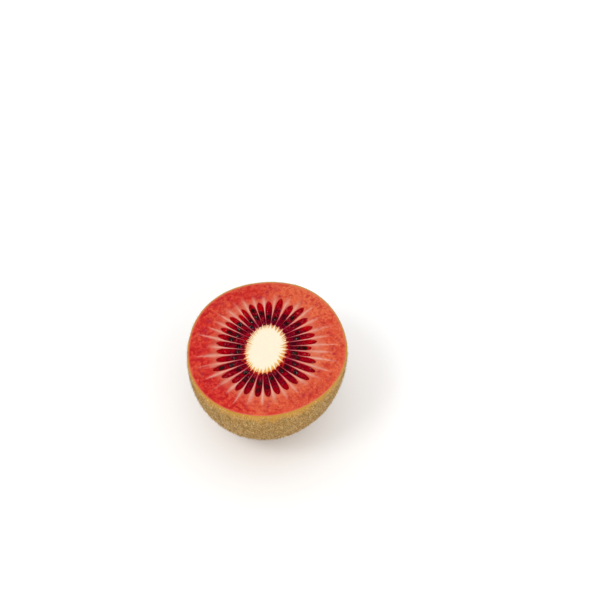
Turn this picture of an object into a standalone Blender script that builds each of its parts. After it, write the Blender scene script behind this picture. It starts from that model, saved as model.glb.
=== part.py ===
"""Half of a red-fleshed kiwi fruit, cut across the middle and lying cut side up on its blunt end.

It is one solid, because the skin, flesh, core and seeds of a kiwi are grown together. The cut face carries the
relief of the fruit's inside: a low dome for the core, a ring of sunken seed chambers that point outwards, the
walls between them, and the seeds that the knife left standing in the chambers. The blunt end has a small flat
ring to rest on, round a dimple that holds the woody scar of the stalk.

Frame: +Z up, the cut face towards +Z, the origin on the resting plane under the middle of the fruit. Metres.
"""

import math
import random

import bmesh
import bpy
from mathutils import Matrix, Vector

FULL_TURN = 2 * math.pi
RANDOM_SEED = 7

# The fruit's outer form. Its outline departs from a circle by waves round it:
# (crests round the fruit, height as a share of the radius, direction of a crest in degrees)
MEAN_RADIUS = 0.0240
HALF_LENGTH = 0.0324
END_BLUNTNESS = 2.0
OUTLINE_WAVES = ((2, 0.0218, 62.0), (3, 0.0069, -13.0), (4, 0.0070, 54.0), (5, 0.0043, -9.0))
RIM_ROLL = 0.0003
FLESH_CROWN = 0.0002

# The blunt end
REST_RADIUS = 0.0070
DIMPLE_RADIUS = 0.0043
DIMPLE_DEPTH = 0.0011
SCAR_RADIUS = 0.0025
SCAR_RECESS = 0.0003

# The core, an oval whose long axis leans to the right at its far end
CORE_HALF_LENGTH = 0.0089
CORE_HALF_WIDTH = 0.0061
CORE_DIRECTION = math.radians(78.0)
CORE_MIDDLE = Vector((-0.0002, -0.0003))
CORE_DOME = 0.0003

# The seed chambers, counted from the right. They crowd and spread in waves round the core, in degrees, and
# their tips lie at a share of the way from the core's edge to the rim. A few reach further out or less far.
CHAMBERS = 34
CHAMBER_START = -1.7
CHAMBER_SPREAD_WAVES = ((1, 3.5, 23.0), (2, 3.3, -68.0), (3, 2.2, -26.0))
CHAMBER_SPREAD_DRAW = 1.0
TIP_SHARE = 0.52
TIP_SHARE_WAVES = ((1, 0.024, 90.0), (2, 0.035, 80.0))
TIP_SHARE_DRAW = 0.02
LONG_CHAMBERS = (5, 7, 20, 30, 31)
SHORT_CHAMBERS = (0, 12, 22, 33)
LONGER = 0.09
SHORTER = 0.08
CHAMBER_HALF_WIDTH = 0.00088
CHAMBER_BASE_WIDTH = 0.8
CHAMBER_TIP_FROM = 0.70
CHAMBER_TIP_WIDTH = 0.15
CHAMBER_DEPTH = 0.0004
WALL_THICKNESS = 0.00022

# The seeds
SEED_LENGTH = 0.0018
SEED_WIDTH = 0.00118
SEED_THICKNESS = 0.0011
SEED_SIDES = 6
SEED_RINGS = 4
SEED_TAPER = 0.25
SEED_LEAN = math.radians(20.0)
SEED_PLACES = (0.20, 0.60)
LAST_SEED_PLACE = 0.80
SEEDS_APART = (0.25, 0.32)
SECOND_SEED_EVERY = 5

# The mesh. Columns of the face: (offset in chamber half widths, share of the chamber's depth). Between two
# chambers there is one more, on the crest of the wall.
CHAMBER_COLUMNS = ((-1.0, 0.0), (-0.5, 1.0), (0.5, 1.0), (1.0, 0.0))
COLUMNS_PER_CHAMBER = len(CHAMBER_COLUMNS) + 1
# Rings of the face, from the core out: (place along the chamber, share of its depth)
CHAMBER_RINGS = ((0.06, 0.7), (0.25, 1.0), (0.50, 1.0), (0.72, 1.0), (0.88, 1.0), (0.96, 0.7), (1.0, 0.0))
# Rings from the chambers' tips to the rim: (share of the way, share of the crown's height)
OUTER_RINGS = ((0.12, 0.3), (0.45, 0.9), (0.75, 1.0), (0.93, 0.5))
CORE_RINGS = (0.80, 0.45)
SIDE_RINGS = 12
SHARP_ANGLE = math.radians(30.0)
# Rings of the blunt end inside the resting ring: (radius, height)
END_RINGS = (
    (DIMPLE_RADIUS, 0.0),
    (DIMPLE_RADIUS - 0.0007, 0.7 * DIMPLE_DEPTH),
    (SCAR_RADIUS + 0.0002, DIMPLE_DEPTH),
    (SCAR_RADIUS, SCAR_RECESS + 0.0002),
    (SCAR_RADIUS - 0.0005, SCAR_RECESS),
)

# Colours: red, green, blue, then roughness
SKIN = (0.40, 0.26, 0.10, 0.75)
FLESH = (0.66, 0.09, 0.05, 0.35)
PULP = (0.24, 0.00, 0.01, 0.20)
CORE = (0.95, 0.83, 0.62, 0.45)
SEED = (0.02, 0.015, 0.01, 0.25)
SCAR = (0.30, 0.15, 0.05, 0.85)


def waves(angle, wave_list):
    return sum(height * math.cos(count * (angle - math.radians(crest))) for count, height, crest in wave_list)


def towards(angle):
    return Vector((math.cos(angle), math.sin(angle)))


def rim_point(turn):
    """Point of the skin at the cut, in a direction from the fruit's axis."""
    return towards(turn) * MEAN_RADIUS * (1 + waves(turn, OUTLINE_WAVES))


def rounding(share):
    """The fruit's profile: the radius at a depth, or the depth at a radius, as shares of their largest values."""
    return max(0.0, 1 - share**END_BLUNTNESS) ** (1 / END_BLUNTNESS)


LAST_DEPTH_SHARE = rounding(REST_RADIUS / MEAN_RADIUS)
CUT_HEIGHT = HALF_LENGTH * LAST_DEPTH_SHARE


def core_edge(turn):
    lengthwise = towards(CORE_DIRECTION)
    along = lengthwise * CORE_HALF_LENGTH * math.cos(turn - CORE_DIRECTION)
    across = lengthwise.orthogonal() * CORE_HALF_WIDTH * math.sin(turn - CORE_DIRECTION)
    return CORE_MIDDLE + along + across


def face_point(turn, share):
    """Point of the cut face on the straight line from the core's edge, share 0, to the rim, share 1."""
    return core_edge(turn).lerp(rim_point(turn), share)


def width_share(place):
    """A chamber's width at a place along it, as a share of its greatest. It ends in half an oval."""
    if place > CHAMBER_TIP_FROM:
        way = (place - CHAMBER_TIP_FROM) / (1 - CHAMBER_TIP_FROM)
        return max(CHAMBER_TIP_WIDTH, math.sqrt(1 - way**2))
    return CHAMBER_BASE_WIDTH + (1 - CHAMBER_BASE_WIDTH) * place / CHAMBER_TIP_FROM


class Chamber:
    """One seed chamber: its direction, its reach, and the places of its seeds between its two ends."""

    def __init__(self, index, draw):
        even = FULL_TURN * index / CHAMBERS + math.radians(CHAMBER_START)
        spread = waves(even, CHAMBER_SPREAD_WAVES) + draw.uniform(-CHAMBER_SPREAD_DRAW, CHAMBER_SPREAD_DRAW)
        self.turn = even + math.radians(spread)
        self.tip_share = TIP_SHARE + waves(even, TIP_SHARE_WAVES) + draw.uniform(-TIP_SHARE_DRAW, TIP_SHARE_DRAW)
        self.tip_share += LONGER * (index in LONG_CHAMBERS) - SHORTER * (index in SHORT_CHAMBERS)
        self.seed_places = [draw.uniform(*SEED_PLACES)]
        if index % SECOND_SEED_EVERY == 0:
            second_place = self.seed_places[0] + draw.uniform(*SEEDS_APART)
            self.seed_places.append(min(LAST_SEED_PLACE, second_place))
        self.seed_leans = [draw.uniform(-SEED_LEAN, SEED_LEAN) for _ in self.seed_places]
        self.gap = FULL_TURN / CHAMBERS

    def half_turn(self, place):
        """Half the chamber's width at a place along it, as a turn round the fruit."""
        share = self.tip_share * place
        nudge = 0.5 * self.gap
        metres_per_turn = (face_point(self.turn + nudge, share) - face_point(self.turn, share)).length / nudge
        room = 0.5 * (metres_per_turn * self.gap - WALL_THICKNESS)
        return min(CHAMBER_HALF_WIDTH * width_share(place), room) / metres_per_turn


def make_chambers():
    """The ring of chambers, each with the smaller of the two turns to its neighbours."""
    draw = random.Random(RANDOM_SEED)
    chambers = [Chamber(index, draw) for index in range(CHAMBERS)]
    for before, chamber, after in zip(chambers[-1:] + chambers, chambers, chambers[1:] + chambers[:1]):
        chamber.gap = min((chamber.turn - before.turn) % FULL_TURN, (after.turn - chamber.turn) % FULL_TURN)
    return chambers


def face_columns(chambers):
    """For each column of the face, in order round it: (turn at a place along it, tip share, depth share)."""
    columns = []
    for index, chamber in enumerate(chambers):
        before = chambers[index - 1]
        before_turn = before.turn if index else before.turn - FULL_TURN
        wall = 0.5 * (before_turn + chamber.turn)
        wall_tip = 0.5 * (before.tip_share + chamber.tip_share)
        columns.append((lambda place, turn=wall: turn, wall_tip, 0.0))
        for offset, depth in CHAMBER_COLUMNS:

            def turn_at(place, chamber=chamber, offset=offset):
                return chamber.turn + offset * chamber.half_turn(place)

            columns.append((turn_at, chamber.tip_share, depth))
    return columns


def stitch(mesh, outer, inner, material):
    """Faces between two rings that start side by side, where the outer may have fewer or more points."""
    a = b = 0
    while a < len(outer) or b < len(inner):
        next_outer = outer[(a + 1) % len(outer)]
        next_inner = inner[(b + 1) % len(inner)]
        corners = [outer[a % len(outer)], next_outer, next_inner, inner[b % len(inner)]]
        outer_goes = (a + 1) * len(inner) <= (b + 1) * len(outer)
        inner_goes = (b + 1) * len(outer) <= (a + 1) * len(inner)
        if not outer_goes:
            del corners[1]
        if not inner_goes:
            del corners[2]
        mesh.faces.new(corners).material_index = material
        a += outer_goes
        b += inner_goes


def add_ring(mesh, flat_points, heights):
    return [mesh.verts.new((*point, height)) for point, height in zip(flat_points, heights)]


def close_ring(mesh, ring, height, material):
    """A fan from a ring to a point in its middle."""
    middle = sum((vert.co for vert in ring), Vector()) / len(ring)
    hub = mesh.verts.new((middle.x, middle.y, height))
    for index, vert in enumerate(ring):
        mesh.faces.new((vert, ring[(index + 1) % len(ring)], hub)).material_index = material


def add_core(mesh, columns):
    """The core's dome. It returns the ring at its edge, which has a point for every column."""
    outer = add_ring(mesh, [core_edge(turn_at(0)) for turn_at, _, _ in columns], [CUT_HEIGHT] * len(columns))
    edge = outer
    for share in CORE_RINGS:
        walls = columns[::COLUMNS_PER_CHAMBER]
        points = [CORE_MIDDLE.lerp(core_edge(turn_at(0)), share) for turn_at, _, _ in walls]
        inner = add_ring(mesh, points, [CUT_HEIGHT + CORE_DOME * (1 - share**2)] * len(points))
        stitch(mesh, outer, inner, MATERIALS.index(CORE))
        outer = inner
    close_ring(mesh, outer, CUT_HEIGHT + CORE_DOME, MATERIALS.index(CORE))
    return edge


def add_chambers(mesh, columns, inner):
    """The sunken chambers and the walls between them. It returns the ring round the chambers' tips."""
    for place, depth_share in CHAMBER_RINGS:
        points = [face_point(turn_at(place), tip * place) for turn_at, tip, _ in columns]
        heights = [CUT_HEIGHT - CHAMBER_DEPTH * depth * depth_share for _, _, depth in columns]
        outer = add_ring(mesh, points, heights)
        stitch(mesh, outer, inner, MATERIALS.index(PULP))
        inner = outer
    return inner


def add_outer_flesh(mesh, columns, inner):
    """The slightly crowned flesh outside the chambers. It returns its outer ring, just inside the rim."""
    for way, crown in OUTER_RINGS:
        points = [face_point(turn_at(1), tip + (1 - tip) * way) for turn_at, tip, _ in columns]
        outer = add_ring(mesh, points, [CUT_HEIGHT + FLESH_CROWN * crown] * len(points))
        stitch(mesh, outer, inner, MATERIALS.index(FLESH))
        inner = outer
    return inner


def add_skin(mesh, chambers, inner):
    """The skin, from the rim down to the resting ring. It has two columns to a chamber."""
    turns = []
    for index, chamber in enumerate(chambers):
        before_turn = chambers[index - 1].turn if index else chambers[-1].turn - FULL_TURN
        turns += [0.5 * (before_turn + chamber.turn), chamber.turn]
    first_depth_share = RIM_ROLL / HALF_LENGTH
    for ring in range(SIDE_RINGS + 1):
        way = math.sin(0.5 * math.pi * ring / SIDE_RINGS)
        depth_share = first_depth_share + (LAST_DEPTH_SHARE - first_depth_share) * way
        points = [rim_point(turn) * rounding(depth_share) for turn in turns]
        height = CUT_HEIGHT - depth_share * HALF_LENGTH
        outer = add_ring(mesh, points, [height] * len(points))
        stitch(mesh, outer, inner, MATERIALS.index(SKIN))
        inner = outer
    return inner


def add_blunt_end(mesh, chambers, outer):
    """The flat resting ring, the dimple inside it and the scar of the stalk."""
    for index, (radius, height) in enumerate(END_RINGS):
        points = [towards(chamber.turn) * radius for chamber in chambers]
        inner = add_ring(mesh, points, [height] * len(points))
        material = SKIN if index < 2 else SCAR
        stitch(mesh, outer, inner, MATERIALS.index(material))
        outer = inner
    close_ring(mesh, outer, SCAR_RECESS, MATERIALS.index(SCAR))


def make_material(name, finish):
    material = bpy.data.materials.new(name)
    material.use_nodes = True
    shader = material.node_tree.nodes["Principled BSDF"]
    shader.inputs["Base Color"].default_value = (*finish[:3], 1.0)
    shader.inputs["Roughness"].default_value = finish[3]
    shader.inputs["Metallic"].default_value = 0.0
    material.diffuse_color = (*finish[:3], 1.0)
    return material


MATERIALS = [SKIN, FLESH, PULP, CORE, SEED, SCAR]
MATERIAL_NAMES = ["kiwi_skin", "kiwi_flesh", "kiwi_pulp", "kiwi_core", "kiwi_seed", "kiwi_scar"]


def add_object(name, mesh, collection):
    bmesh.ops.recalc_face_normals(mesh, faces=mesh.faces)
    data = bpy.data.meshes.new(name)
    mesh.to_mesh(data)
    mesh.free()
    for material_name, finish in zip(MATERIAL_NAMES, MATERIALS):
        data.materials.append(bpy.data.materials.get(material_name) or make_material(material_name, finish))
    item = bpy.data.objects.new(name, data)
    collection.objects.link(item)
    return item


def make_bare_half(chambers):
    mesh = bmesh.new()
    columns = face_columns(chambers)
    ring = add_core(mesh, columns)
    ring = add_chambers(mesh, columns, ring)
    ring = add_outer_flesh(mesh, columns, ring)
    ring = add_skin(mesh, chambers, ring)
    add_blunt_end(mesh, chambers, ring)
    return add_object("kiwi_half", mesh, bpy.context.scene.collection)


def add_seed(name, place, direction, collection):
    """One seed, an egg shape that lies in its chamber with its narrow end towards the core."""
    mesh = bmesh.new()
    bmesh.ops.create_uvsphere(mesh, u_segments=SEED_SIDES, v_segments=SEED_RINGS, radius=0.5)
    bmesh.ops.rotate(mesh, verts=mesh.verts, cent=(0, 0, 0), matrix=Matrix.Rotation(math.pi / 2, 3, "Y"))
    for vert in mesh.verts:
        width = 1 + 2 * SEED_TAPER * vert.co.x
        vert.co = (vert.co.x * SEED_LENGTH, vert.co.y * SEED_WIDTH * width, vert.co.z * SEED_THICKNESS * width)
    bmesh.ops.rotate(mesh, verts=mesh.verts, cent=(0, 0, 0), matrix=Matrix.Rotation(direction, 3, "Z"))
    bmesh.ops.translate(mesh, verts=mesh.verts, vec=place)
    for face in mesh.faces:
        face.material_index = MATERIALS.index(SEED)
    add_object(name, mesh, collection)


def make_seeds(chambers):
    seeds = bpy.data.collections.new("seeds")
    bpy.context.scene.collection.children.link(seeds)
    for index, chamber in enumerate(chambers):
        outwards = rim_point(chamber.turn) - core_edge(chamber.turn)
        direction = math.atan2(outwards.y, outwards.x)
        for place, lean in zip(chamber.seed_places, chamber.seed_leans):
            point = face_point(chamber.turn, chamber.tip_share * place)
            centre = (*point, CUT_HEIGHT - CHAMBER_DEPTH)
            add_seed(f"seed_{index}_{round(100 * place)}", centre, direction + lean, seeds)
    return seeds


def fuse(half, seeds):
    """One union joins every seed to the flesh that it grew in."""
    union = half.modifiers.new("seeds", "BOOLEAN")
    union.operation = "UNION"
    union.operand_type = "COLLECTION"
    union.collection = seeds
    union.solver = "EXACT"
    bpy.context.view_layer.objects.active = half
    bpy.ops.object.modifier_apply(modifier=union.name)
    for seed in list(seeds.objects):
        bpy.data.objects.remove(seed)
    bpy.data.collections.remove(seeds)


def centre_on_base(half):
    """Moves the mesh so that the middle of its outline lies over the origin."""
    across = [vert.co.x for vert in half.data.vertices]
    along = [vert.co.y for vert in half.data.vertices]
    middle = Vector((min(across) + max(across), min(along) + max(along), 0)) / 2
    half.data.transform(Matrix.Translation(-middle))


def shade(half):
    half.data.shade_smooth()
    half.data.set_sharp_from_angle(angle=SHARP_ANGLE)


def main():
    for item in list(bpy.data.objects):
        bpy.data.objects.remove(item)
    chambers = make_chambers()
    half = make_bare_half(chambers)
    fuse(half, make_seeds(chambers))
    centre_on_base(half)
    shade(half)


main()
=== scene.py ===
"""The looks of half a red-fleshed kiwi fruit that rests cut side up.

It has a fuzzy skin, moist flesh with a ring of seed chambers in it, and a pale core.
"""

import math
import random

import bpy
import numpy as np
from mathutils import Matrix, Vector


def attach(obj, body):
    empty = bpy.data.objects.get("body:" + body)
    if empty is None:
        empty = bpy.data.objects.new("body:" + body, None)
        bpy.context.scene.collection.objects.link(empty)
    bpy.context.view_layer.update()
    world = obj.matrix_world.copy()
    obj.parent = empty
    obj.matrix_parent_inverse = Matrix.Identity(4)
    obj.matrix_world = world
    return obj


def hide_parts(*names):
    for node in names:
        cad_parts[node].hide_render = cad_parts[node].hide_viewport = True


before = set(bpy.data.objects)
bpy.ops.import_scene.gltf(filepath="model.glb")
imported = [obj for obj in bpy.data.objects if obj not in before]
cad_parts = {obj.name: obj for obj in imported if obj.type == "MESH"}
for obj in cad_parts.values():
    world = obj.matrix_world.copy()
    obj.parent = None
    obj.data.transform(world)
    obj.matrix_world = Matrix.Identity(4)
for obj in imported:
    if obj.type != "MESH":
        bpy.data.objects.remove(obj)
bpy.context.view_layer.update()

MM = 0.001
FULL_TURN = 2 * math.pi

# The fruit's form, as its solid has it
RANDOM_SEED = 7
MEAN_RADIUS = 24.0 * MM
HALF_LENGTH = 32.4 * MM
END_BLUNTNESS = 2.0
OUTLINE_WAVES = ((2, 0.0218, 62.0), (3, 0.0069, -13.0), (4, 0.0070, 54.0), (5, 0.0043, -9.0))
REST_RADIUS = 7.0 * MM
DIMPLE_RADIUS = 4.3 * MM
DIMPLE_DEPTH = 1.1 * MM
SCAR_RADIUS = 2.5 * MM
SCAR_RECESS = 0.3 * MM
CORE_HALF_LENGTH = 8.9 * MM
CORE_HALF_WIDTH = 6.1 * MM
CORE_DIRECTION = math.radians(78.0)
CORE_MIDDLE = np.array([-0.2, -0.3]) * MM
CHAMBERS = 34
CHAMBER_START = -1.7
CHAMBER_SPREAD_WAVES = ((1, 3.5, 23.0), (2, 3.3, -68.0), (3, 2.2, -26.0))
CHAMBER_SPREAD_DRAW = 1.0
TIP_SHARE = 0.52
TIP_SHARE_WAVES = ((2, 0.020, 80.0),)
TIP_SHARE_DRAW = 0.02
LONG_CHAMBERS = (5, 7, 20, 30, 31)
SHORT_CHAMBERS = (0, 12, 22, 33)
LONGER = 0.09
SHORTER = 0.08
CHAMBER_DEPTH = 0.4 * MM
SEED_LENGTH = 1.8 * MM
SEED_WIDTH = 1.18 * MM
SEED_THICKNESS = 1.1 * MM
SEED_LEAN = math.radians(20.0)
SEED_PLACES = (0.20, 0.60)
LAST_SEED_PLACE = 0.80
SEEDS_APART = (0.25, 0.32)
SECOND_SEED_EVERY = 5

# Finer form
SKIN_THICKNESS = 0.45 * MM
FLESH_CROWN = 0.22 * MM
HOLLOW_DEPTH = 0.9 * MM
HOLLOW_EDGE = 0.12 * MM
CHAMBER_HALF_WIDTH = 0.97 * MM
CHAMBER_TIP_FROM = 0.70
CHAMBER_TIP_WIDTH = 0.15
CHAMBER_UNDER_CORE = 0.5 * MM
WALL_AT_CORE = 0.12 * MM
WALL_AT_TIPS = 0.60 * MM
SMALLER_GAP_SHARE = 0.75
FLESH_UNDER_SKIN = 0.8
PULP_TOP = -0.10 * MM
COLUMNS_IN_CHAMBER = 9
COLUMNS_IN_WALL = 7
COLUMNS = CHAMBERS * (COLUMNS_IN_CHAMBER + COLUMNS_IN_WALL)
CORE_FLOOR_RINGS = 6
CHAMBER_RINGS = 60
OUTER_RINGS = 46
UNDER_RINGS = 16
FLESH_RINGS = CORE_FLOOR_RINGS + CHAMBER_RINGS + OUTER_RINGS + UNDER_RINGS
FUZZ_PER_M2 = 8e6


# The layout of the fruit

def waves(angle, wave_list):
    return sum(height * np.cos(count * (angle - math.radians(crest))) for count, height, crest in wave_list)


def smooth(low, high, values):
    """From 0 at the low value to 1 at the high one, level at both."""
    share = np.clip((values - low) / (high - low), 0, 1)
    return share * share * (3 - 2 * share)


def rounding(share):
    return np.maximum(0.0, 1 - share**END_BLUNTNESS) ** (1 / END_BLUNTNESS)


def towards(angle):
    return np.stack([np.cos(angle), np.sin(angle)], axis=-1)


def outline(turn):
    return towards(turn) * (MEAN_RADIUS * (1 + waves(turn, OUTLINE_WAVES)))[..., None]


def fruit_axis():
    """Where the fruit's axis stands, so that the middle of its outline is over the origin."""
    points = outline(np.linspace(0, FULL_TURN, 720))
    return -0.5 * (points.min(axis=0) + points.max(axis=0))


AXIS = fruit_axis()
LAST_DEPTH_SHARE = float(rounding(np.array(REST_RADIUS / MEAN_RADIUS)))
CUT_HEIGHT = HALF_LENGTH * LAST_DEPTH_SHARE


def rim_point(turn):
    return AXIS + outline(np.asarray(turn, float))


def core_edge(turn, share=1.0):
    turn = np.asarray(turn, float)
    along = towards(CORE_DIRECTION) * CORE_HALF_LENGTH
    across = towards(CORE_DIRECTION + math.pi / 2) * CORE_HALF_WIDTH
    cosine, sine = np.cos(turn - CORE_DIRECTION)[..., None], np.sin(turn - CORE_DIRECTION)[..., None]
    return AXIS + CORE_MIDDLE + (along * cosine + across * sine) * np.asarray(share)[..., None]


def face_point(turn, share):
    """Point of the cut face on the line from the core's edge, share 0, to the rim, share 1."""
    share = np.asarray(share, float)[..., None]
    return core_edge(turn) * (1 - share) + rim_point(turn) * share


PLACES = np.linspace(0, 1, 41)


def width_share(place):
    """How the end of a chamber narrows, in half an oval."""
    tip = np.sqrt(1 - np.clip((place - CHAMBER_TIP_FROM) / (1 - CHAMBER_TIP_FROM), 0, 1) ** 2)
    return np.maximum(tip, CHAMBER_TIP_WIDTH)


class Chamber:
    """One seed chamber: its direction, its reach, and the places of its seeds between its two ends."""

    def __init__(self, index, draw):
        even = FULL_TURN * index / CHAMBERS + math.radians(CHAMBER_START)
        spread = waves(even, CHAMBER_SPREAD_WAVES) + draw.uniform(-CHAMBER_SPREAD_DRAW, CHAMBER_SPREAD_DRAW)
        self.turn = even + math.radians(spread)
        self.tip_share = TIP_SHARE + waves(even, TIP_SHARE_WAVES)
        self.tip_share += draw.uniform(-TIP_SHARE_DRAW, TIP_SHARE_DRAW)
        self.tip_share += LONGER * (index in LONG_CHAMBERS) - SHORTER * (index in SHORT_CHAMBERS)
        self.seed_places = [draw.uniform(*SEED_PLACES)]
        if index % SECOND_SEED_EVERY == 0:
            second_place = self.seed_places[0] + draw.uniform(*SEEDS_APART)
            self.seed_places.append(min(LAST_SEED_PLACE, second_place))
        self.seed_leans = [draw.uniform(-SEED_LEAN, SEED_LEAN) for _ in self.seed_places]
        self.start = core_edge(self.turn)
        way = face_point(self.turn, self.tip_share) - self.start
        self.length = float(np.hypot(*way))
        self.direction = math.atan2(way[1], way[0])
        self.half_widths = CHAMBER_HALF_WIDTH * np.ones(len(PLACES))

    def fit_between(self, before, after):
        """Widens the chamber up to the walls that it shares with its neighbours."""
        gaps = (self.turn - before.turn) % FULL_TURN, (after.turn - self.turn) % FULL_TURN
        gap = min(gaps) * SMALLER_GAP_SHARE + max(gaps) * (1 - SMALLER_GAP_SHARE)
        sides = [face_point(self.turn + side * gap / 2, self.tip_share * PLACES) for side in (-1, 1)]
        room = np.hypot(*(sides[1] - sides[0]).T) - WALL_AT_CORE - (WALL_AT_TIPS - WALL_AT_CORE) * PLACES**2
        self.half_widths = np.minimum(CHAMBER_HALF_WIDTH, 0.5 * room) * width_share(PLACES)

    def half_width(self, place):
        return np.interp(place, PLACES, self.half_widths)


def make_chambers():
    draw = random.Random(RANDOM_SEED)
    chambers = [Chamber(index, draw) for index in range(CHAMBERS)]
    for before, chamber, after in zip(chambers[-1:] + chambers, chambers, chambers[1:] + chambers[:1]):
        chamber.fit_between(before, after)
    return chambers


CHAMBER_LIST = make_chambers()


def chamber_distance(points, chamber):
    """Distance of points outside a chamber's outline, negative inside, and their places along it."""
    along = towards(chamber.direction)
    across = np.array([-along[1], along[0]])
    offset = points - chamber.start
    distance_along, distance_across = offset @ along, np.abs(offset @ across)
    place = distance_along / chamber.length
    beside = distance_across - chamber.half_width(place)
    beyond = np.maximum(distance_along - chamber.length, -CHAMBER_UNDER_CORE - distance_along)
    return np.maximum(beside, beyond), place


# Hand tools

def start_piece(name):
    """The primitive that was just added, under its own name and alone in the selection."""
    piece = bpy.context.object
    piece.name = piece.data.name = name
    return piece


def only(piece):
    bpy.ops.object.select_all(action="DESELECT")
    piece.select_set(True)
    bpy.context.view_layer.objects.active = piece


def edit(piece, select_mode="FACE"):
    only(piece)
    bpy.ops.object.mode_set(mode="EDIT")
    bpy.ops.mesh.select_mode(type=select_mode)
    bpy.ops.mesh.select_all(action="DESELECT")


def done_editing():
    bpy.ops.object.mode_set(mode="OBJECT")


def select_faces(piece, test):
    """Selects only the faces that pass a test of their centre and normal. It is used in edit mode."""
    bpy.ops.mesh.select_all(action="DESELECT")
    bpy.ops.object.mode_set(mode="OBJECT")
    for face in piece.data.polygons:
        face.select = bool(test(face.center, face.normal))
    bpy.ops.object.mode_set(mode="EDIT")


def select_points(piece, test):
    bpy.ops.mesh.select_all(action="DESELECT")
    bpy.ops.object.mode_set(mode="OBJECT")
    for vertex in piece.data.vertices:
        vertex.select = bool(test(vertex.co))
    bpy.ops.object.mode_set(mode="EDIT")


def apply_modifiers(piece):
    only(piece)
    for modifier in list(piece.modifiers):
        bpy.ops.object.modifier_apply(modifier=modifier.name)


def settle(piece):
    """Puts the piece's place into its mesh, and smooths its shading."""
    only(piece)
    bpy.ops.object.transform_apply(location=True, rotation=True, scale=True)
    bpy.ops.object.shade_smooth()


def points_of(piece):
    flat = np.empty(3 * len(piece.data.vertices))
    piece.data.vertices.foreach_get("co", flat)
    return flat.reshape(-1, 3)


def move_points(piece, points):
    piece.data.vertices.foreach_set("co", np.ascontiguousarray(points, float).ravel())
    piece.data.update()


def add_field(piece, name, values):
    """A number for each point of the piece, which its material reads."""
    field = piece.data.attributes.new(name, "FLOAT", "POINT")
    field.data.foreach_set("value", np.ascontiguousarray(values, np.float32))


def globe(name, columns, rings):
    """A ball to be laid out as the piece needs, and the numbers of each point's column and ring."""
    bpy.ops.mesh.primitive_uv_sphere_add(segments=columns, ring_count=rings, radius=1)
    piece = start_piece(name)
    points = points_of(piece)
    column = np.round(np.arctan2(points[:, 1], points[:, 0]) / FULL_TURN * columns).astype(int) % columns
    ring = np.round(np.arccos(np.clip(points[:, 2], -1, 1)) / math.pi * rings).astype(int)
    return piece, column, ring


def roughen(piece, name, size, depth, direction="NORMAL"):
    """Uneven relief, with lumps of a size in metres."""
    texture = bpy.data.textures.new(name, "CLOUDS")
    texture.noise_scale = size
    texture.noise_depth = 2
    lumps = piece.modifiers.new(name, "DISPLACE")
    lumps.texture = texture
    lumps.texture_coords = "LOCAL"
    lumps.strength = depth
    lumps.direction = direction


def join(pieces, name):
    bpy.ops.object.select_all(action="DESELECT")
    for piece in pieces:
        piece.select_set(True)
    bpy.context.view_layer.objects.active = pieces[0]
    bpy.ops.object.join()
    return start_piece(name)


def copy_to(master, place):
    """A copy of a piece, with its own mesh, that is put in its place by a matrix."""
    piece = master.copy()
    piece.data = master.data.copy()
    bpy.context.collection.objects.link(piece)
    piece.data.transform(place)
    return piece


# The skin, from the cut's edge round the blunt end

SKIN_COLUMNS = 320
SKIN_RINGS = 100
SIDE_SHARE = 0.82
BARE_BAND = 3.5 * MM
FUZZ_LOST_AT_CUT = 0.7
NO_FUZZ_BELOW = 0.4 * MM


def skin_points(column, ring):
    way = (ring - SKIN_RINGS) / SKIN_RINGS
    turn = column / SKIN_COLUMNS * FULL_TURN
    side_way = np.clip(way / SIDE_SHARE, 0, 1)
    end_way = np.clip((way - SIDE_SHARE) / (1 - SIDE_SHARE), 0, 1)
    depth_share = LAST_DEPTH_SHARE * np.sin(0.5 * math.pi * side_way)
    share = np.where(end_way > 0, REST_RADIUS / MEAN_RADIUS * (1 - end_way), rounding(depth_share))
    radius = MEAN_RADIUS * share
    dimple = np.clip((DIMPLE_RADIUS - radius) / (DIMPLE_RADIUS - SCAR_RADIUS), 0, 1)
    under = DIMPLE_DEPTH * dimple**2 * (3 - 2 * dimple)
    height = np.where(end_way > 0, under, CUT_HEIGHT - HALF_LENGTH * depth_share)
    flat = AXIS + outline(turn) * share[:, None]
    return np.column_stack([flat, height])


def make_skin():
    piece, _, _ = globe("kiwi_skin", SKIN_COLUMNS, 2 * SKIN_RINGS)
    edit(piece)
    bpy.ops.mesh.select_all(action="SELECT")
    bpy.ops.mesh.bisect(plane_co=(0, 0, 0), plane_no=(0, 0, 1), clear_outer=True)
    done_editing()
    points = points_of(piece)
    column = np.arctan2(points[:, 1], points[:, 0]) / FULL_TURN * SKIN_COLUMNS
    ring = np.arccos(np.clip(points[:, 2], -1, 1)) / math.pi * 2 * SKIN_RINGS
    move_points(piece, skin_points(column, ring))
    roughen(piece, "skin swells", 9 * MM, 0.30 * MM)
    roughen(piece, "skin grain", 0.7 * MM, 0.07 * MM)
    apply_modifiers(piece)
    points = points_of(piece)
    points[:, 2] = np.clip(points[:, 2], 0, CUT_HEIGHT)
    move_points(piece, points)
    near_cut = smooth(BARE_BAND, 0, CUT_HEIGHT - points[:, 2])
    add_field(piece, "fuzzy", (1 - FUZZ_LOST_AT_CUT * near_cut) * (points[:, 2] > NO_FUZZ_BELOW))
    return piece


def thicken_skin(piece):
    wall = piece.modifiers.new("wall", "SOLIDIFY")
    wall.thickness = SKIN_THICKNESS
    wall.offset = -1
    apply_modifiers(piece)
    settle(piece)


# The flesh, one body under the skin, with a hollow for each chamber

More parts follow.
